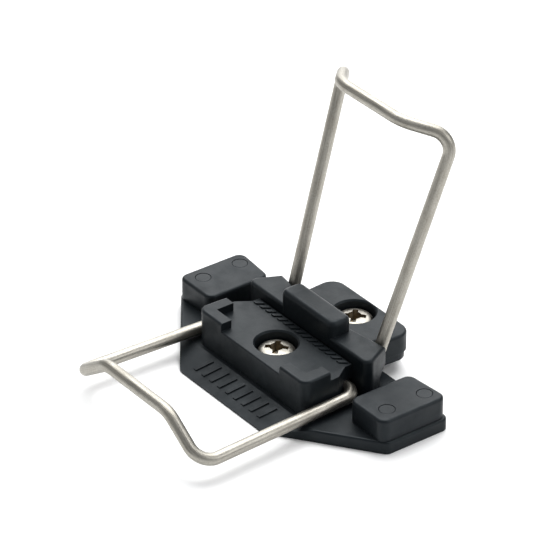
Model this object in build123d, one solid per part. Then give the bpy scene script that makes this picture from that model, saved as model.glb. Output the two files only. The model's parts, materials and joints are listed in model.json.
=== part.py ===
"""Dual-height heel piece of a touring binding: moulded base, clamp blocks, heel pads and two wire lifts."""
from build123d import *
from math import cos, radians, tan
import os

# Axes: X across the ski, -Y towards the toe, +Z up. The origin lies on the ski's surface, midway
# between the two ski screws. All sizes in mm.

# Base plate
plate_thick = 3.3
plate_half_width = 42.2
plate_front_y = -29.0
plate_front_half_width = 17.0
plate_side_front_y = -10.5
plate_rear_y = 8.3
plate_front_corner_r = 4.0
plate_side_corner_r = 2.0
plate_edge_r = 0.6
ramp_start_y = -21.2
ramp_front_thick = 0.5
tongue_half_width = 11.0
tongue_rear_y = 18.0
sharp_within_x = 12.0

# Central tower, moulded in one piece with the base plate
tower_top = 13.6
tower_front_y = -3.0
tower_rear_y = 3.8
tower_rear_flat_half_width = 9.8
tower_front_half_width = 24.9
tower_front_corner_r = 1.8
tower_rear_half_width = 20.8
tower_edge_r = 0.8
ear_rear_y = 5.4
ear_recess_front_y = 2.6
ear_recess_rear_y = 6.5
ear_recess_front_top = 6.2
ear_recess_rear_top = 9.8
leg_slot_outer_x = 19.6
leg_slot_inner_x = 13.7
leg_slot_clearance = 0.3
leg_slot_length = 5.0
crown_half_width = 10.4
crown_front_y = -3.2
crown_rear_y = 3.2
crown_bottom = 11.2
crown_top = 17.8
crown_corner_r = 1.8
crown_edge_r = 1.3

# Heel pads
pad_inner_x = 28.3
pad_outer_x = 41.6
pad_front_y = -11.7
pad_rear_inner_y = 6.9
pad_rear_outer_y = 8.1
pad_top = 9.16
pad_corner_r = 2.3
pad_edge_r = 0.8
peg_r = 2.1
peg_x = 37.3
peg_ys = (-7.1, 4.35)
peg_bottom = 1.0
peg_recess = 0.05
peg_groove = 0.22

# Screws and their seats
screw_y = 12.0
screw_r = 2.75
screw_neck_r = 2.5
screw_neck_bottom = -0.4
screw_clearance_r = 2.9
screw_head_r = 4.8
screw_seat = 6.8
screw_head_rim = 8.3
screw_head_top = 9.6
screw_tip = -9.5
counterbore_r = 5.33
recess_length = 6.0
recess_width = 1.5
recess_depth = 2.6
dome_mid_r = 2.9
dome_mid_drop = 0.36
seat_lead_in = 0.45

# Front clamp block
front_block_front_y = -20.1
front_block_rear_y = -3.1
front_block_half_width = 21.8
front_block_shoulder_half_width = 21.3
front_block_shoulder_y = -9.2
front_block_neck_y = -5.4
front_block_neck_half_width = 18.7
front_block_shoulder_r = 1.6
front_block_top = 10.8
front_block_corner_r = 2.5
block_top_edge_r = 0.7
panel_edge_r = 0.4
lip_top = 13.0
lip_front_inner_x = 11.9
lip_front_rear_y = -16.9
lip_side_inner_x = 18.0
lip_side_rear_y = -11.8

# Rear clamp block
rear_block_front_y = 4.6
rear_block_rear_y = 18.1
rear_block_shoulder_half_width = 15.3
rear_block_half_width = 15.9
rear_block_neck_y = 8.0
rear_block_neck_half_width = 13.6
rear_block_top = 10.7
rear_block_corner_r = 4.0
rear_block_band_top = 5.4
rear_block_band_inset = 0.5

# Wire lifts
wire_r = 3.175 / 2
pivot_z = 5.2
pivot_clearance = 0.06
pivot_end_x = 10.0
top_bend_r = 5.0
middle_bend_r = 8.0
low_pivot_y = -5.0
low_pivot_half_width = 23.0
low_pivot_bend_r = 4.0
low_top_half_width = 25.3
low_length = 48.3
low_middle_half_width = 12.7
low_rise = 8.4
high_pivot_y = 4.4
high_pivot_half_width = 17.0
high_pivot_bend_r = 3.0
high_top_half_width = 21.5
high_length = 63.7
high_middle_half_width = 11.8
high_rise = -9.3
high_lean = 18.7

# Slanted grip ribs
rib_height = 0.35
rib_width = 1.1
rib_slant = 1.4
ramp_rib_half_span = 13.0
ramp_rib_count = 9
ramp_rib_ys = (-26.8, -22.4)
ramp_rib_root = 0.2
block_rib_half_span = 16.8
block_rib_count = 15
block_rib_ys = (-5.6, -3.9)
block_rib_root = 0.5


def both_sides(points):
    """Closed outline from the points of its right half, listed from front to rear."""
    return points + [(-x, y) for x, y in reversed(points)]


def slab(outline, bottom, top, corners=()):
    """Prism over an outline; corners lists (y, radius) for the outline's corners to round."""
    face = make_face(Polyline(*outline, close=True))
    for corner_y, radius in corners:
        found = [v for v in face.vertices() if abs(v.Y - corner_y) < 0.01 and abs(v.X) > sharp_within_x]
        face = fillet(found, radius)
    return Pos(0, 0, bottom) * extrude(face, amount=top - bottom)


def block(x_range, y_range, z_range):
    """Plain box between pairs of limits."""
    size = [high - low for low, high in (x_range, y_range, z_range)]
    middle = [(high + low) / 2 for low, high in (x_range, y_range, z_range)]
    return Pos(*middle) * Box(*size)


def upright(x, y, radius, bottom, top):
    """Vertical cylinder."""
    return Pos(x, y, (bottom + top) / 2) * Cylinder(radius, top - bottom)


def pivot_channel(side, pivot_y, outer_x, open_y):
    """Round-topped channel that holds one pivot end, open below and towards the tower."""
    radius = wire_r + pivot_clearance
    inner_x = pivot_end_x - 0.5
    length = outer_x - inner_x
    centre = Pos(side * (inner_x + outer_x) / 2, pivot_y, pivot_z)
    channel = centre * Rot(0, 90, 0) * Cylinder(radius, length)
    away = pivot_y + radius if open_y < pivot_y else pivot_y - radius
    x_range = sorted((side * inner_x, side * outer_x))
    channel += block(x_range, sorted((away, open_y)), (plate_thick, pivot_z))
    channel += block(x_range, sorted((pivot_y, open_y)), (plate_thick, pivot_z + radius))
    return channel


def slanted_ribs(half_span, count, y_range, bottom, top):
    """Row of slanted bars across the part."""
    front_y, rear_y = y_range
    step = 2 * half_span / (count - 1)
    bars = []
    for index in range(count):
        x = index * step - half_span
        outline = [
            (x - rib_width / 2 - rib_slant / 2, front_y),
            (x + rib_width / 2 - rib_slant / 2, front_y),
            (x + rib_width / 2 + rib_slant / 2, rear_y),
            (x - rib_width / 2 + rib_slant / 2, rear_y),
        ]
        bars.append(slab(outline, bottom, top))
    return bars


def ramp_cut(lift):
    """Space above the plate's front ramp, raised by lift."""
    over = 5.0
    slope = (plate_thick - ramp_front_thick) / (ramp_start_y - plate_front_y)
    profile = Polyline(
        (ramp_start_y, plate_thick + lift),
        (plate_front_y - over, ramp_front_thick - slope * over + lift),
        (plate_front_y - over, plate_thick + over),
        (ramp_start_y, plate_thick + over),
        close=True,
    )
    return extrude(Plane.YZ * make_face(profile), amount=plate_half_width, both=True)


def plate():
    """Flat base with the front ramp, its grip ribs and the tongue under the rear block."""
    outline = both_sides([
        (plate_front_half_width, plate_front_y),
        (plate_half_width, plate_side_front_y),
        (plate_half_width, plate_rear_y),
        (tongue_half_width, plate_rear_y),
        (tongue_half_width, tongue_rear_y),
    ])
    corners = [
        (plate_front_y, plate_front_corner_r),
        (plate_side_front_y, plate_side_corner_r),
        (plate_rear_y, plate_side_corner_r),
    ]
    solid = slab(outline, 0, plate_thick, corners)
    top_edges = solid.edges().filter_by_position(Axis.Z, plate_thick, plate_thick)
    front_and_sides = [e for e in top_edges if e.center().Y < plate_rear_y - plate_side_corner_r]
    solid = fillet(front_and_sides, plate_edge_r)
    solid -= ramp_cut(0)
    ribs = slanted_ribs(ramp_rib_half_span, ramp_rib_count, ramp_rib_ys, ramp_rib_root, plate_thick)
    return solid + [rib - ramp_cut(rib_height) for rib in ribs]


def leg_slot(side):
    """Slot for one leg of the high lift; its slanted front wall is the lift's forward stop."""
    lean = radians(high_lean)
    reach = wire_r / cos(lean) + leg_slot_clearance
    above = tower_top + 1

    def wall_y(z):
        return high_pivot_y + (z - pivot_z) * tan(lean) - reach

    profile = Polyline(
        (wall_y(plate_thick), plate_thick),
        (wall_y(above), above),
        (wall_y(above) + leg_slot_length, above),
        (wall_y(above) + leg_slot_length, plate_thick),
        close=True,
    )
    width = leg_slot_outer_x - leg_slot_inner_x
    middle = side * (leg_slot_outer_x + leg_slot_inner_x) / 2
    return Pos(middle, 0, 0) * extrude(Plane.YZ * make_face(profile), amount=width / 2, both=True)


def ear_recess(side):
    """Space under an ear, where the bend of the high lift's leg passes."""
    profile = Polyline(
        (ear_recess_front_y, plate_thick),
        (ear_recess_rear_y, plate_thick),
        (ear_recess_rear_y, ear_recess_rear_top),
        (ear_recess_front_y, ear_recess_front_top),
        close=True,
    )
    inner_x = leg_slot_outer_x - 1
    width = tower_front_half_width - inner_x
    prism = extrude(Plane.YZ * make_face(profile), amount=width / 2, both=True)
    return Pos(side * (inner_x + width / 2), 0, 0) * prism


def tower():
    """Central tower with its crown and the two ears beside the high lift's legs."""
    outline = both_sides([
        (tower_front_half_width, tower_front_y),
        (tower_rear_half_width, ear_rear_y),
        (tower_rear_flat_half_width, tower_rear_y),
    ])
    solid = slab(outline, 0, tower_top, [(tower_front_y, tower_front_corner_r)])
    solid = fillet(solid.edges().filter_by_position(Axis.Z, tower_top, tower_top), tower_edge_r)
    solid -= [ear_recess(side) for side in (-1, 1)]
    x_range = (-crown_half_width, crown_half_width)
    crown = block(x_range, (crown_front_y, crown_rear_y), (crown_bottom, crown_top))
    crown = fillet(crown.edges().filter_by(Axis.Z), crown_corner_r)
    crown = fillet(crown.edges().filter_by_position(Axis.Z, crown_top, crown_top), crown_edge_r)
    return solid + crown


def base_plate():
    solid = plate() + tower()
    for side in (-1, 1):
        solid -= leg_slot(side)
        solid -= pivot_channel(side, high_pivot_y, leg_slot_inner_x, high_pivot_y + wire_r)
        solid -= upright(0, side * screw_y, screw_clearance_r, -1, plate_thick + 1)
        for peg_y in peg_ys:
            solid -= upright(side * peg_x, peg_y, peg_r, peg_bottom, plate_thick + 1)
    return solid


def heel_pad(side):
    outline = [
        (side * pad_inner_x, pad_front_y),
        (side * pad_outer_x, pad_front_y),
        (side * pad_outer_x, pad_rear_outer_y),
        (side * pad_inner_x, pad_rear_inner_y),
    ]
    corners = [(y, pad_corner_r) for y in (pad_front_y, pad_rear_inner_y, pad_rear_outer_y)]
    solid = slab(outline, plate_thick, pad_top, corners)
    solid = fillet(solid.edges().filter_by_position(Axis.Z, pad_top, pad_top), pad_edge_r)
    for peg_y in peg_ys:
        solid -= upright(side * peg_x, peg_y, peg_r, plate_thick - 1, pad_top + 1)
    return solid


def pad_pegs(side):
    top = pad_top - peg_recess
    pegs = []
    for peg_y in peg_ys:
        peg = upright(side * peg_x, peg_y, peg_r, peg_bottom, top)
        pegs.append(chamfer(peg.edges().filter_by_position(Axis.Z, top, top), peg_groove))
    return Compound(pegs)


def screw_seat_cut(y, top):
    """Counterbore with a small lead-in, and the clearance hole below it."""
    cut = upright(0, y, screw_clearance_r, plate_thick - 1, top)
    cut += upright(0, y, counterbore_r, screw_seat, top + 3)
    flare = 2 * seat_lead_in
    cut += Pos(0, y, top) * Cone(counterbore_r, counterbore_r + flare, flare)
    return cut


def front_clamp_block():
    """Block with the front screw, a lip round each front corner and grip ribs by the tower."""
    outline = both_sides([
        (front_block_half_width, front_block_front_y),
        (front_block_shoulder_half_width, front_block_shoulder_y),
        (front_block_neck_half_width, front_block_neck_y),
        (front_block_neck_half_width, front_block_rear_y),
    ])
    corners = [(front_block_front_y, front_block_corner_r), (front_block_shoulder_y, front_block_shoulder_r)]
    solid = slab(outline, plate_thick, lip_top, corners)
    solid = fillet(solid.edges().filter_by_position(Axis.Z, lip_top, lip_top), block_top_edge_r)
    beyond = 5.0
    panel = both_sides([
        (lip_front_inner_x, front_block_front_y - beyond),
        (lip_front_inner_x, lip_front_rear_y),
        (lip_side_inner_x, lip_front_rear_y),
        (lip_side_inner_x, lip_side_rear_y),
        (front_block_half_width + beyond, lip_side_rear_y),
        (front_block_half_width + beyond, front_block_rear_y + beyond),
    ])
    solid -= slab(panel, front_block_top, lip_top + beyond)
    rim = solid.edges().filter_by_position(Axis.Z, front_block_top, front_block_top)
    outer_ys = (front_block_front_y, front_block_rear_y)
    ends = [e for e in rim if min(abs(e.center().Y - y) for y in outer_ys) < 0.01]
    solid = fillet(ends, panel_edge_r)
    root = front_block_top - block_rib_root
    crest = front_block_top + rib_height
    solid += slanted_ribs(block_rib_half_span, block_rib_count, block_rib_ys, root, crest)
    for side in (-1, 1):
        solid -= pivot_channel(side, low_pivot_y, front_block_half_width, tower_front_y)
    return solid - screw_seat_cut(-screw_y, front_block_top)


def rear_block_outline(inset):
    return both_sides([
        (rear_block_neck_half_width - inset, rear_block_front_y),
        (rear_block_neck_half_width - inset, rear_block_neck_y),
        (rear_block_shoulder_half_width - inset, rear_block_neck_y),
        (rear_block_half_width - inset, rear_block_rear_y - inset),
    ])


def rear_clamp_block():
    corners = [(rear_block_rear_y, rear_block_corner_r)]
    solid = slab(rear_block_outline(0), rear_block_band_top, rear_block_top, corners)
    top_edges = solid.edges().filter_by_position(Axis.Z, rear_block_top, rear_block_top)
    solid = fillet(top_edges, block_top_edge_r)
    inset = rear_block_band_inset
    corners = [(rear_block_rear_y - inset, rear_block_corner_r - inset)]
    solid += slab(rear_block_outline(inset), plate_thick, rear_block_band_top, corners)
    for side in (-1, 1):
        solid -= pivot_channel(side, high_pivot_y, rear_block_half_width, tower_rear_y - 1)
    return solid - screw_seat_cut(screw_y, rear_block_top)


def bail(pivot_half_width, pivot_bend_r, top_half_width, length, middle_half_width, rise):
    """Wire lift standing on its pivot axis: legs up +Z, the middle of its top set aside along Y."""
    half = [
        (pivot_end_x, 0, 0),
        (pivot_half_width, 0, 0),
        (top_half_width, 0, length),
        (middle_half_width, rise, length),
    ]
    points = [(-x, y, z) for x, y, z in half] + list(reversed(half))
    bends = [pivot_bend_r, top_bend_r, middle_bend_r]
    path = FilletPolyline(*points, radius=bends + bends[::-1])
    section = Plane(origin=points[0], x_dir=(0, 1, 0), z_dir=(-1, 0, 0)) * Circle(wire_r)
    return sweep(section, path=path)


def low_wire():
    ends = (low_pivot_half_width, low_pivot_bend_r)
    wire = bail(*ends, low_top_half_width, low_length, low_middle_half_width, low_rise)
    return Pos(0, low_pivot_y, pivot_z) * Rot(90, 0, 0) * wire


def high_wire():
    ends = (high_pivot_half_width, high_pivot_bend_r)
    wire = bail(*ends, high_top_half_width, high_length, high_middle_half_width, high_rise)
    return Pos(0, high_pivot_y, pivot_z) * Rot(-high_lean, 0, 0) * wire


def ski_screw(y):
    """Pan-head ski screw with a cross recess; its thread stands below the base."""
    tip_taper = 1.2
    profile = [
        (0, screw_tip),
        (screw_r - tip_taper, screw_tip),
        (screw_r, screw_tip + 2 * tip_taper),
        (screw_r, screw_neck_bottom),
        (screw_neck_r, screw_neck_bottom),
        (screw_neck_r, screw_seat),
        (screw_head_r, screw_seat),
        (screw_head_r, screw_head_rim),
    ]
    edge = Polyline(*profile)
    dome = ThreePointArc(profile[-1], (dome_mid_r, screw_head_top - dome_mid_drop), (0, screw_head_top))
    axis_line = Line((0, screw_head_top), (0, screw_tip))
    solid = revolve(Plane.XZ * make_face([edge, dome, axis_line]), Axis.Z)
    cross = Rectangle(recess_length, recess_width) + Rectangle(recess_width, recess_length)
    solid -= Pos(0, 0, screw_head_top + 0.1) * Rot(0, 0, 45) * extrude(cross, amount=-recess_depth)
    return Pos(0, y, 0) * solid


os.makedirs("parts", exist_ok=True)
NODES = {
    "base_plate": base_plate(),
    "left_heel_pad": heel_pad(-1),
    "right_heel_pad": heel_pad(1),
    "left_pad_pegs": pad_pegs(-1),
    "right_pad_pegs": pad_pegs(1),
    "front_clamp_block": front_clamp_block(),
    "rear_clamp_block": rear_clamp_block(),
    "low_wire": low_wire(),
    "high_wire": high_wire(),
    "front_screw": ski_screw(-screw_y),
    "rear_screw": ski_screw(screw_y),
}
for name, solid in NODES.items():
    export_step(solid, f"parts/{name}.step")
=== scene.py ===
import bpy
import bmesh
import json
from math import cos, pi, radians, sin, tan
from mathutils import Matrix, Vector


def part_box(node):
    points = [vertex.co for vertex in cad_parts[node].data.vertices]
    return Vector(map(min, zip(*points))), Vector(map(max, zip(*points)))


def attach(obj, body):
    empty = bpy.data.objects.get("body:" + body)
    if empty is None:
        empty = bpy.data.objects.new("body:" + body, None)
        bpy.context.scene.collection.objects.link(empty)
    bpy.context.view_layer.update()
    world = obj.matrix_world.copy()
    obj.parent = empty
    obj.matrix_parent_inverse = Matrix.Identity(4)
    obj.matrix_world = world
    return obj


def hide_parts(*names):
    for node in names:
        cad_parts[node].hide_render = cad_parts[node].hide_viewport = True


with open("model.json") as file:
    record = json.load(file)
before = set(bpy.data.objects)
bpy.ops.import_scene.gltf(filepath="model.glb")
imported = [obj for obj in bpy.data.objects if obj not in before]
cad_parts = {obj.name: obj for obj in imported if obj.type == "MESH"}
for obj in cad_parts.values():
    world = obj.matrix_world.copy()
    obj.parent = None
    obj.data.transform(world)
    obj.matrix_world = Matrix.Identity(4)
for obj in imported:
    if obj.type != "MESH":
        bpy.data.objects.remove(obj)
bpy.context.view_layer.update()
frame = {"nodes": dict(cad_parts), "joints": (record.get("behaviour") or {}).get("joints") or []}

MM = 0.001


# ---------------------------------------------------------------- shader helpers

class Shader:
    """A material's node tree with short calls for the nodes used here."""

    def __init__(self, name):
        self.material = bpy.data.materials.new(name)
        self.material.use_nodes = True
        self.tree = self.material.node_tree
        self.surface = self.tree.nodes["Principled BSDF"]

    def node(self, kind, **settings):
        made = self.tree.nodes.new(kind)
        for key, value in settings.items():
            setattr(made, key, value)
        return made

    def link(self, source, target):
        self.tree.links.new(source, target)

    def noise(self, vector, scale, detail=3.0, roughness=0.55):
        made = self.node("ShaderNodeTexNoise")
        made.inputs["Scale"].default_value = scale
        made.inputs["Detail"].default_value = detail
        made.inputs["Roughness"].default_value = roughness
        self.link(vector, made.inputs["Vector"])
        return made.outputs["Fac"]

    def remap(self, value, low, high, to_low, to_high):
        made = self.node("ShaderNodeMapRange")
        made.inputs["From Min"].default_value = low
        made.inputs["From Max"].default_value = high
        made.inputs["To Min"].default_value = to_low
        made.inputs["To Max"].default_value = to_high
        self.link(value, made.inputs["Value"])
        return made.outputs["Result"]

    def mix(self, factor, first, second):
        made = self.node("ShaderNodeMix", data_type="RGBA")
        self.link(factor, made.inputs["Factor"])
        for socket, value in (("A", first), ("B", second)):
            target = [s for s in made.inputs if s.name == socket and s.type == "RGBA"][0]
            if isinstance(value, tuple):
                target.default_value = (*value, 1)
            else:
                self.link(value, target)
        return [s for s in made.outputs if s.type == "RGBA"][0]

    def math(self, operation, first, second):
        made = self.node("ShaderNodeMath", operation=operation)
        for index, value in enumerate((first, second)):
            if isinstance(value, (int, float)):
                made.inputs[index].default_value = value
            else:
                self.link(value, made.inputs[index])
        return made.outputs[0]

    def bump(self, height, distance, strength, normal=None):
        made = self.node("ShaderNodeBump")
        made.inputs["Distance"].default_value = distance
        made.inputs["Strength"].default_value = strength
        self.link(height, made.inputs["Height"])
        if normal:
            self.link(normal, made.inputs["Normal"])
        return made.outputs["Normal"]

    def place(self):
        return self.node("ShaderNodeTexCoord").outputs["Object"]

    def edge_mask(self, radius, low, high):
        """1 along edges and corners, 0 on open faces: where a small bevel would turn the normal."""
        bevel = self.node("ShaderNodeBevel", samples=4)
        bevel.inputs["Radius"].default_value = radius
        geometry = self.node("ShaderNodeNewGeometry")
        product = self.node("ShaderNodeVectorMath", operation="DOT_PRODUCT")
        self.link(bevel.outputs["Normal"], product.inputs[0])
        self.link(geometry.outputs["Normal"], product.inputs[1])
        return self.remap(product.outputs["Value"], high, low, 0.0, 1.0)


def nylon(name, colour, roughness, grain):
    """Moulded glass-filled nylon: fine grain, faint flow clouding, edges rubbed smooth and paler, the paler
    edges partly wear and partly a painted edge highlight.
    """
    shader = Shader(name)
    place = shader.place()
    cloud = shader.noise(place, scale=70.0, detail=4.0)
    fleck = shader.noise(place, scale=2600.0, detail=2.0)
    darker = tuple(value * 0.8 for value in colour)
    lighter = tuple(value * 1.25 for value in colour)
    tint = shader.mix(shader.remap(cloud, 0.35, 0.65, 0, 1), darker, lighter)
    fibre = tuple(value * 2.0 for value in colour)
    tint = shader.mix(shader.remap(fleck, 0.6, 0.85, 0, 0.35), tint, fibre)
    # Paler edges: partly wear, partly a painted highlight along every edge, broken up by noise.
    edge = shader.edge_mask(0.35 * MM, 0.90, 0.995)
    patchy_wear_and_highlight = shader.remap(shader.noise(place, scale=420.0), 0.38, 0.66, 0.1, 0.75)
    scuff_and_painted_highlight = shader.math("MULTIPLY", edge, patchy_wear_and_highlight)
    rubbed_and_painted_highlight = tuple(value * 2.2 + 0.012 for value in colour)
    tint = shader.mix(scuff_and_painted_highlight, tint, rubbed_and_painted_highlight)
    shader.link(tint, shader.surface.inputs["Base Color"])
    sheen = shader.noise(place, scale=240.0)
    rough = shader.remap(sheen, 0.3, 0.7, roughness - 0.12, roughness + 0.1)
    rough = shader.math("SUBTRACT", rough, shader.math("MULTIPLY", scuff_and_painted_highlight, 0.1))
    shader.link(rough, shader.surface.inputs["Roughness"])
    fine_grain = shader.noise(place, scale=5200.0, detail=2.0)
    coarse_grain = shader.noise(place, scale=900.0, detail=2.0)
    normal = shader.bump(fine_grain, 0.04 * MM, grain)
    normal = shader.bump(coarse_grain, 0.06 * MM, grain * 0.6, normal)
    shader.link(normal, shader.surface.inputs["Normal"])
    shader.surface.inputs["IOR"].default_value = 1.53
    shader.surface.inputs["Specular IOR Level"].default_value = 0.2
    shader.surface.inputs["Specular Tint"].default_value = (0.86, 0.95, 1.0, 1)
    return shader.material


def drawn_steel(name):
    """Stainless spring wire: faint streaks along the wire, dull patches and a fine dark speckle."""
    shader = Shader(name)
    shader.surface.inputs["Metallic"].default_value = 1.0
    along = shader.node("ShaderNodeUVMap", uv_map="along")
    stretch = shader.node("ShaderNodeMapping")
    stretch.inputs["Scale"].default_value = (5200.0, 90.0, 1.0)
    shader.link(along.outputs["UV"], stretch.inputs["Vector"])
    streak = shader.noise(stretch.outputs["Vector"], scale=1.0, detail=4.0, roughness=0.6)
    place = shader.place()
    patch = shader.noise(place, scale=160.0, detail=4.0)
    tint = shader.mix(shader.remap(streak, 0.3, 0.7, 0, 1), (0.27, 0.256, 0.224), (0.5, 0.48, 0.43))
    tint = shader.mix(shader.remap(patch, 0.5, 0.75, 0, 0.45), tint, (0.30, 0.275, 0.23))
    speckle = shader.noise(place, scale=2400.0, detail=3.0, roughness=0.7)
    tint = shader.mix(shader.remap(speckle, 0.48, 0.68, 0, 0.42), tint, (0.17, 0.158, 0.132))
    shader.link(tint, shader.surface.inputs["Base Color"])
    streak_rough = shader.remap(streak, 0.3, 0.7, 0.32, 0.44)
    patch_rough = shader.remap(patch, 0.4, 0.7, 0.0, 0.1)
    rough = shader.math("ADD", streak_rough, patch_rough)
    shader.link(rough, shader.surface.inputs["Roughness"])
    pits = shader.noise(place, scale=1500.0, detail=2.0)
    normal = shader.bump(streak, 0.03 * MM, 0.35)
    normal = shader.bump(pits, 0.02 * MM, 0.2, normal)
    shader.link(normal, shader.surface.inputs["Normal"])
    return shader.material


def screw_steel(name, dark, light, rough_low, rough_high):
    """Stainless screw steel, lightly mottled between two tints."""
    shader = Shader(name)
    shader.surface.inputs["Metallic"].default_value = 1.0
    place = shader.place()
    mottle = shader.noise(place, scale=900.0, detail=4.0)
    tint = shader.mix(shader.remap(mottle, 0.35, 0.7, 0, 1), dark, light)
    shader.link(tint, shader.surface.inputs["Base Color"])
    rough = shader.remap(mottle, 0.3, 0.7, rough_low, rough_high)
    shader.link(rough, shader.surface.inputs["Roughness"])
    shader.link(shader.bump(mottle, 0.03 * MM, 0.2), shader.surface.inputs["Normal"])
    return shader.material


def floor_paint():
    """Plain matt white surface with a barely visible clouding."""
    shader = Shader("floor_white")
    place = shader.place()
    grain = shader.noise(place, scale=30.0)
    tint = shader.mix(grain, (0.955, 0.955, 0.955), (0.97, 0.97, 0.97))
    shader.link(tint, shader.surface.inputs["Base Color"])
    shader.surface.inputs["Roughness"].default_value = 0.9
    return shader.material


# ---------------------------------------------------------------- mesh helpers

def new_piece(name, mesh, body, slot_name, material, *nodes):
    """An object made from a mesh, riding on a body and standing for CAD nodes."""
    piece = bpy.data.objects.new(name, mesh)
    bpy.context.scene.collection.objects.link(piece)
    mesh.materials.clear()
    mesh.materials.append(material)
    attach(piece, body)
    if nodes:
        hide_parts(*nodes)
    return piece


def rounded_path(points, radii, bend_steps):
    """Straight runs joined by tangent arcs, one radius for each inner point."""
    path = [Vector(points[0])]
    for before, corner, after, radius in zip(points, points[1:], points[2:], radii):
        corner = Vector(corner)
        back = (Vector(before) - corner).normalized()
        ahead = (Vector(after) - corner).normalized()
        half_turn = (pi - back.angle(ahead)) / 2
        reach = radius * tan(half_turn)
        bisector = (back + ahead).normalized()
        centre = corner + bisector * (radius / cos(half_turn))
        start = corner + back * reach - centre
        normal = back.cross(ahead).normalized()
        for step in range(bend_steps + 1):
            turn = -2 * half_turn * step / bend_steps
            path.append(centre + Matrix.Rotation(turn, 3, normal) @ start)
    path.append(Vector(points[-1]))
    return path


def split_runs(path, longest):
    """The same path with its long straight runs divided, so that the mesh stays even."""
    result = [path[0]]
    for start, end in zip(path, path[1:]):
        pieces = max(1, round((end - start).length / longest))
        for index in range(1, pieces + 1):
            result.append(start.lerp(end, index / pieces))
    return result


def tube_mesh(name, path, radius, sides, end_chamfer):
    """Round tube along a path, with chamfered ends and a UV map that runs along it in metres."""
    start_dir = (path[1] - path[0]).normalized()
    end_dir = (path[-1] - path[-2]).normalized()
    start_ring = path[0] + start_dir * end_chamfer
    end_ring = path[-1] - end_dir * end_chamfer
    path = [path[0], start_ring] + path[1:-1] + [end_ring, path[-1]]
    radii = [radius - end_chamfer] + [radius] * (len(path) - 2) + [radius - end_chamfer]
    mesh_data = bmesh.new()
    layer = mesh_data.loops.layers.uv.new("along")
    side = start_dir.orthogonal().normalized()
    rings = []
    travelled = [0.0]
    for index, point in enumerate(path):
        ahead = path[min(index + 1, len(path) - 1)] - path[max(index - 1, 0)]
        ahead.normalize()
        side = (side - ahead * side.dot(ahead)).normalized()
        other = ahead.cross(side)
        ring = []
        for step in range(sides):
            angle = 2 * pi * step / sides
            outward = side * cos(angle) + other * sin(angle)
            ring.append(mesh_data.verts.new(point + outward * radii[index]))
        rings.append(ring)
        if index:
            travelled.append(travelled[-1] + (point - path[index - 1]).length)
    for index in range(len(rings) - 1):
        near, far = rings[index], rings[index + 1]
        for step in range(sides):
            after = (step + 1) % sides
            corners = [near[step], near[after], far[after], far[step]]
            face = mesh_data.faces.new(corners)
            face.smooth = True
            around = [step, step + 1, step + 1, step]
            distances = [travelled[index], travelled[index], travelled[index + 1], travelled[index + 1]]
            for loop, turn, distance in zip(face.loops, around, distances):
                loop[layer].uv = (turn / sides * 2 * pi * radius, distance)
    mesh_data.faces.new(list(reversed(rings[0])))
    mesh_data.faces.new(rings[-1])
    mesh = bpy.data.meshes.new(name)
    mesh_data.to_mesh(mesh)
    mesh_data.free()
    return mesh


def lathe(mesh_data, profile, sides):
    """Closed solid of revolution about Z; the profile starts and ends on the axis."""
    first = mesh_data.verts.new((0, 0, profile[0][1]))
    last = mesh_data.verts.new((0, 0, profile[-1][1]))
    rings = []
    for r, z in profile[1:-1]:
        angles = [2 * pi * step / sides for step in range(sides)]
        rings.append([mesh_data.verts.new((r * cos(a), r * sin(a), z)) for a in angles])
    for step in range(sides):
        after = (step + 1) % sides
        mesh_data.faces.new((first, rings[0][after], rings[0][step]))
        mesh_data.faces.new((last, rings[-1][step], rings[-1][after]))
        for lower, upper in zip(rings, rings[1:]):
            mesh_data.faces.new((lower[step], lower[after], upper[after], upper[step]))


def shade_by_angle(mesh, degrees):
    """Smooth faces, with edges sharper than the angle kept crisp."""
    for face in mesh.polygons:
        face.use_smooth = True
    mesh.set_sharp_from_angle(angle=radians(degrees))


# ---------------------------------------------------------------- wire lifts

WIRE_R = 1.5875 * MM
WIRE_SIDES = 40
WIRE_STEP = 2.5 * MM
WIRE_END_CHAMFER = 0.25 * MM
WIRE_BEND_STEPS = 16

# Half-widths, lengths and bend radii in mm; tilt in degrees about the hinge, 0 being upright.
PIVOT_END_HALF = 10.0
TOP_BEND = 5.0
MIDDLE_BEND = 8.0
LOW_LIFT = {
    "pivot_half": 23.0,
    "pivot_bend": 4.0,
    "top_half": 25.3,
    "length": 48.3,
    "middle_half": 12.7,
    "rise": 8.4,
    "tilt": 90,
}
HIGH_LIFT = {
    "pivot_half": 17.0,
    "pivot_bend": 3.0,
    "top_half": 21.5,
    "length": 63.7,
    "middle_half": 11.8,
    "rise": -9.3,
    "tilt": -18.7,
}


def wire_lift(name, joint_name, body, node, lift, material):
    """Bent wire lift on its hinge: legs, slanted shoulders and a flat middle."""
    hinge = [j for j in frame["joints"] if j["name"] == joint_name][0]
    half = [
        (PIVOT_END_HALF, 0, 0),
        (lift["pivot_half"], 0, 0),
        (lift["top_half"], 0, lift["length"]),
        (lift["middle_half"], lift["rise"], lift["length"]),
    ]
    points = [(-x, y, z) for x, y, z in half] + list(reversed(half))
    bends = [lift["pivot_bend"], TOP_BEND, MIDDLE_BEND]
    path = rounded_path(points, bends + bends[::-1], WIRE_BEND_STEPS)
    at_hinge = Matrix.Translation(Vector(hinge["pos_m"]))
    tilted = Matrix.Rotation(radians(lift["tilt"]), 4, "X")
    place = at_hinge @ tilted @ Matrix.Scale(MM, 4)
    path = split_runs([place @ point for point in path], WIRE_STEP)
    mesh = tube_mesh(name, path, WIRE_R, WIRE_SIDES, WIRE_END_CHAMFER)
    return new_piece(name, mesh, body, "wire", material, node)


# ---------------------------------------------------------------- screws

HEAD_SEAT = 6.8 * MM
HEAD_RIM = 8.3 * MM
HEAD_SIDES = 96
DOME_STEPS = 14
RECESS_BEVEL = 0.07 * MM

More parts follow.
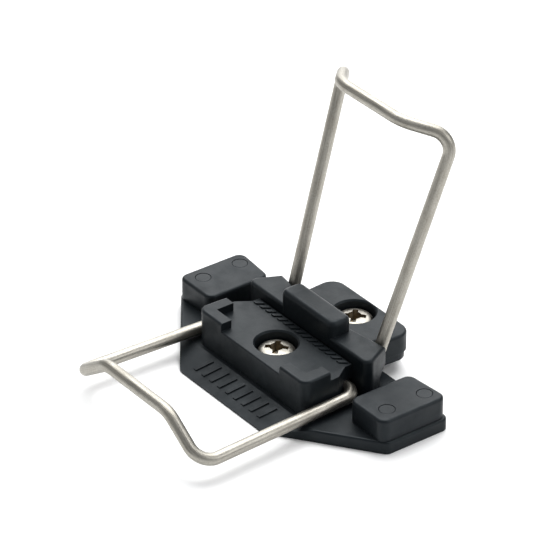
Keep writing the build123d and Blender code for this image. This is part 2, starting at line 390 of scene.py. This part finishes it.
# Driver recess: half-length and half-width of each slot, at its floor and at its mouth
SLOT_FLOOR_HALF = (2.1 * MM, 0.42 * MM)
SLOT_MOUTH_HALF = (3.15 * MM, 0.78 * MM)
SLOT_FLOOR_Z = -2.7 * MM
SLOT_MOUTH_Z = 0.4 * MM
POINT_Z = -3.1 * MM
POINT_SHOULDER = (1.15 * MM, -2.3 * MM)
POINT_MOUTH_R = 1.9 * MM
POINT_SIDES = 32
RECESS_REACH = 3.2 * MM

# Shank and thread
SHANK_ROOT_R = 1.95 * MM
SHANK_CREST_R = 2.74 * MM
THREAD_PITCH = 1.8 * MM
TIP_TAPER = 3.0 * MM
TIP_SHARE = 0.45
SHANK_SIDES = 48
LEVELS_PER_PITCH = 10


def cross_cutter():
    """Tapered cross with a pointed middle, as a driver bit leaves it."""
    mesh_data = bmesh.new()
    for turn in (radians(45), radians(135)):
        rings = []
        for (long_half, wide_half), z in ((SLOT_FLOOR_HALF, SLOT_FLOOR_Z), (SLOT_MOUTH_HALF, SLOT_MOUTH_Z)):
            ring = []
            for x_sign, y_sign in ((1, 1), (-1, 1), (-1, -1), (1, -1)):
                corner = Vector((x_sign * long_half, y_sign * wide_half, z))
                ring.append(mesh_data.verts.new(Matrix.Rotation(turn, 3, "Z") @ corner))
            rings.append(ring)
        mesh_data.faces.new(list(reversed(rings[0])))
        mesh_data.faces.new(rings[1])
        for step in range(4):
            after = (step + 1) % 4
            mesh_data.faces.new((rings[0][step], rings[0][after], rings[1][after], rings[1][step]))
    point = [(0, POINT_Z), POINT_SHOULDER, (POINT_MOUTH_R, SLOT_MOUTH_Z), (0, SLOT_MOUTH_Z)]
    lathe(mesh_data, point, POINT_SIDES)
    mesh = bpy.data.meshes.new("cross_cutter")
    bmesh.ops.recalc_face_normals(mesh_data, faces=mesh_data.faces)
    mesh_data.to_mesh(mesh)
    mesh_data.free()
    return mesh


def threaded_shank(mesh_data, bottom, top):
    """Closed shank whose surface carries a helical thread, tapering to the tip."""
    ridge_half = 0.34
    run_in = 0.6 * THREAD_PITCH
    levels = round((top - bottom) / (THREAD_PITCH / LEVELS_PER_PITCH))
    rings = []
    for level in range(levels + 1):
        z = bottom + (top - bottom) * level / levels
        tip = min(1.0, TIP_SHARE + (1 - TIP_SHARE) * (z - bottom) / TIP_TAPER)
        fade = max(0.0, min(1.0, (top - z) / THREAD_PITCH, (z - bottom) / run_in))
        ring = []
        for step in range(SHANK_SIDES):
            phase = (z / THREAD_PITCH - step / SHANK_SIDES) % 1.0
            ridge = max(0.0, 1 - abs(phase - 0.5) / ridge_half)
            r = (SHANK_ROOT_R + (SHANK_CREST_R - SHANK_ROOT_R) * ridge * fade) * tip
            angle = 2 * pi * step / SHANK_SIDES
            ring.append(mesh_data.verts.new((r * cos(angle), r * sin(angle), z)))
        rings.append(ring)
    for lower, upper in zip(rings, rings[1:]):
        for step in range(SHANK_SIDES):
            after = (step + 1) % SHANK_SIDES
            mesh_data.faces.new((lower[step], lower[after], upper[after], upper[step]))
    mesh_data.faces.new(list(reversed(rings[0])))
    mesh_data.faces.new(rings[-1])


def head_profile(top, head_r):
    """Half outline of the pan head: chamfered seat, short straight rim and a low dome."""
    chamfer = 0.25 * MM
    straight_end = HEAD_RIM - 0.35 * MM
    dome_start = HEAD_RIM - 0.2 * MM
    dome_r = head_r - 0.1 * MM
    side_fullness = 0.75
    top_fullness = 0.9
    profile = [
        (0, HEAD_SEAT),
        (head_r - chamfer, HEAD_SEAT),
        (head_r, HEAD_SEAT + chamfer),
        (head_r, straight_end),
    ]
    for step in range(DOME_STEPS):
        angle = pi / 2 * step / DOME_STEPS
        r = dome_r * cos(angle) ** side_fullness
        z = dome_start + (top - dome_start) * sin(angle) ** top_fullness
        profile.append((r, z))
    profile.append((0, top))
    return profile


def head_mesh(top, head_r):
    """Pan head with the driver recess cut out and its edges slightly softened."""
    mesh_data = bmesh.new()
    lathe(mesh_data, head_profile(top, head_r), HEAD_SIDES)
    bmesh.ops.recalc_face_normals(mesh_data, faces=mesh_data.faces)
    mesh = bpy.data.meshes.new("screw_head")
    mesh_data.to_mesh(mesh)
    mesh_data.free()
    head = bpy.data.objects.new("screw_head", mesh)
    cutter = bpy.data.objects.new("cross_cutter", cross_cutter())
    for made in (head, cutter):
        bpy.context.scene.collection.objects.link(made)
    cutter.location = (0, 0, top)
    bpy.context.view_layer.update()
    cut = head.modifiers.new("recess", "BOOLEAN")
    cut.operation = "DIFFERENCE"
    cut.solver = "EXACT"
    cut.use_self = True
    cut.object = cutter
    soften = head.modifiers.new("soften", "BEVEL")
    soften.width = RECESS_BEVEL
    soften.segments = 2
    soften.limit_method = "ANGLE"
    soften.angle_limit = radians(38)
    result = bpy.data.meshes.new_from_object(head.evaluated_get(bpy.context.evaluated_depsgraph_get()))
    for made in (head, cutter):
        bpy.data.objects.remove(made)
    return result


def mark_recess(mesh, centre_y, head_top):
    """Second material slot, which carries painted shade, on the walls and pointed floor of the driver
    recess.
    """
    lowest = head_top - 4.0 * MM
    highest = head_top - 0.16 * MM
    dome_normal_z = 0.94
    for face in mesh.polygons:
        centre = face.center
        reach = (centre.x ** 2 + (centre.y - centre_y) ** 2) ** 0.5
        inside = reach < RECESS_REACH and lowest < centre.z < highest
        if inside and face.normal.z < dome_normal_z:
            face.material_index = 1


def ski_screw(node, material, recess_shade_material):
    """Full screw: head with recess, plus the threaded shank, at its CAD node's place."""
    low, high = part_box(node)
    centre_x = (low[0] + high[0]) / 2
    centre_y = (low[1] + high[1]) / 2
    head_r = (high[0] - low[0]) / 2
    into_head = 0.2 * MM
    mesh_data = bmesh.new()
    mesh_data.from_mesh(head_mesh(high[2], head_r))
    threaded_shank(mesh_data, low[2], HEAD_SEAT + into_head)
    bmesh.ops.translate(mesh_data, verts=mesh_data.verts, vec=(centre_x, centre_y, 0))
    mesh = bpy.data.meshes.new(node + "_detail")
    mesh_data.to_mesh(mesh)
    mesh_data.free()
    shade_by_angle(mesh, 35)
    piece = new_piece(node + "_detail", mesh, "base", "screw", material, node)
    # The recess faces take the darker steel, which is painted shade.
    mesh.materials.append(recess_shade_material)
    mark_recess(mesh, centre_y, high[2])
    return piece


# ---------------------------------------------------------------- moulded parts

WELD_DISTANCE = 0.002 * MM
FLAT_ANGLE = radians(0.6)
CRISP_ANGLE = radians(32)
MOULD_RADII = {
    "base_plate": 0.22 * MM,
    "front_clamp_block": 0.35 * MM,
    "rear_clamp_block": 0.3 * MM,
}


def soften_edges(node, width):
    """Small mould radius on a CAD part's crisp edges, made by modifiers only."""
    part = frame["nodes"][node]
    weld = part.modifiers.new("weld", "WELD")
    weld.merge_threshold = WELD_DISTANCE
    flat = part.modifiers.new("flat", "DECIMATE")
    flat.decimate_type = "DISSOLVE"
    flat.angle_limit = FLAT_ANGLE
    bevel = part.modifiers.new("mould_radius", "BEVEL")
    bevel.width = width
    bevel.segments = 3
    bevel.limit_method = "ANGLE"
    bevel.angle_limit = CRISP_ANGLE
    bevel.harden_normals = False
    bevel.use_clamp_overlap = True
    normals = part.modifiers.new("normals", "WEIGHTED_NORMAL")
    normals.keep_sharp = True


def dress(node, material):
    """A CAD node keeps its shape and takes a procedural material."""
    part = frame["nodes"][node]
    if not part.material_slots:
        part.data.materials.append(material)
    for material_slot in part.material_slots:
        material_slot.material = material


# ---------------------------------------------------------------- assembly

black_nylon = nylon("black_nylon", (0.006, 0.008, 0.0098), 0.44, 0.26)
pad_nylon = nylon("pad_nylon", (0.0068, 0.0087, 0.0107), 0.45, 0.3)
peg_nylon = nylon("peg_nylon", (0.0078, 0.0098, 0.0118), 0.42, 0.2)
wire_steel = drawn_steel("wire_steel")
bright_steel = screw_steel("bright_steel", (0.24, 0.228, 0.2), (0.44, 0.42, 0.375), 0.3, 0.44)
# Darker brown steel for the driver recess: painted shade in the hollow.
recess_painted_shade_steel = screw_steel("recess_painted_shade_steel", (0.13, 0.1, 0.06), (0.3, 0.245, 0.165), 0.38, 0.55)

for node, mould_radius in MOULD_RADII.items():
    dress(node, black_nylon)
    soften_edges(node, mould_radius)
for node in ("left_heel_pad", "right_heel_pad"):
    dress(node, pad_nylon)
for node in ("left_pad_pegs", "right_pad_pegs"):
    dress(node, peg_nylon)

wire_lift("low_wire_bail", "low_lift_hinge", "low_lift", "low_wire", LOW_LIFT, wire_steel)
wire_lift("high_wire_bail", "high_lift_hinge", "high_lift", "high_wire", HIGH_LIFT, wire_steel)
for node in ("front_screw", "rear_screw"):
    ski_screw(node, bright_steel, recess_painted_shade_steel)


# ---------------------------------------------------------------- stage, light, camera

FLOOR_HALF = 3.0

CAMERA_AZIMUTH = radians(53.265)
CAMERA_ELEVATION = radians(31.518)
CAMERA_DISTANCE = 0.9986
CAMERA_TARGET = Vector((-0.042044, 0.017383, 0.0))
CAMERA_LENS = 259.7
CAMERA_SENSOR = 36.0


def add_floor():
    mesh_data = bmesh.new()
    bmesh.ops.create_grid(mesh_data, x_segments=4, y_segments=4, size=FLOOR_HALF)
    mesh = bpy.data.meshes.new("floor")
    mesh_data.to_mesh(mesh)
    mesh_data.free()
    floor = bpy.data.objects.new("floor", mesh)
    bpy.context.scene.collection.objects.link(floor)
    mesh.materials.append(floor_paint())


def add_light(name, place, target, size, power):
    data = bpy.data.lights.new(name, "AREA")
    data.shape = "RECTANGLE"
    data.size, data.size_y = size
    data.energy = power
    lamp = bpy.data.objects.new(name, data)
    bpy.context.scene.collection.objects.link(lamp)
    lamp.location = place
    lamp.rotation_euler = (Vector(target) - Vector(place)).to_track_quat("-Z", "Y").to_euler()


def add_world(strength):
    world = bpy.data.worlds.new("studio")
    bpy.context.scene.world = world
    world.use_nodes = True
    background = world.node_tree.nodes["Background"]
    background.inputs["Color"].default_value = (0.97, 0.985, 1.0, 1)
    background.inputs["Strength"].default_value = strength


def add_camera():
    data = bpy.data.cameras.new("camera")
    data.lens = CAMERA_LENS
    data.sensor_width = CAMERA_SENSOR
    data.clip_end = 20.0
    camera = bpy.data.objects.new("camera", data)
    bpy.context.scene.collection.objects.link(camera)
    across = cos(CAMERA_ELEVATION)
    back = Vector((
        sin(CAMERA_AZIMUTH) * across,
        -cos(CAMERA_AZIMUTH) * across,
        sin(CAMERA_ELEVATION),
    ))
    camera.location = CAMERA_TARGET + back * CAMERA_DISTANCE
    camera.rotation_euler = back.to_track_quat("Z", "Y").to_euler()
    bpy.context.scene.camera = camera


add_floor()
add_world(0.38)
add_light("top_softbox", place=(-0.25, 0.25, 0.75), target=(0, 0, 0), size=(0.9, 0.7), power=10.0)
add_light("back_softbox", place=(-0.75, 0.6, 0.35), target=(0, 0, 0.02), size=(0.9, 0.5), power=3.4)
add_light("side_softbox", place=(0.55, 0.35, 0.4), target=(0, 0, 0.02), size=(0.35, 0.35), power=1.2)
add_camera()
bpy.context.scene.view_settings.view_transform = "Standard"
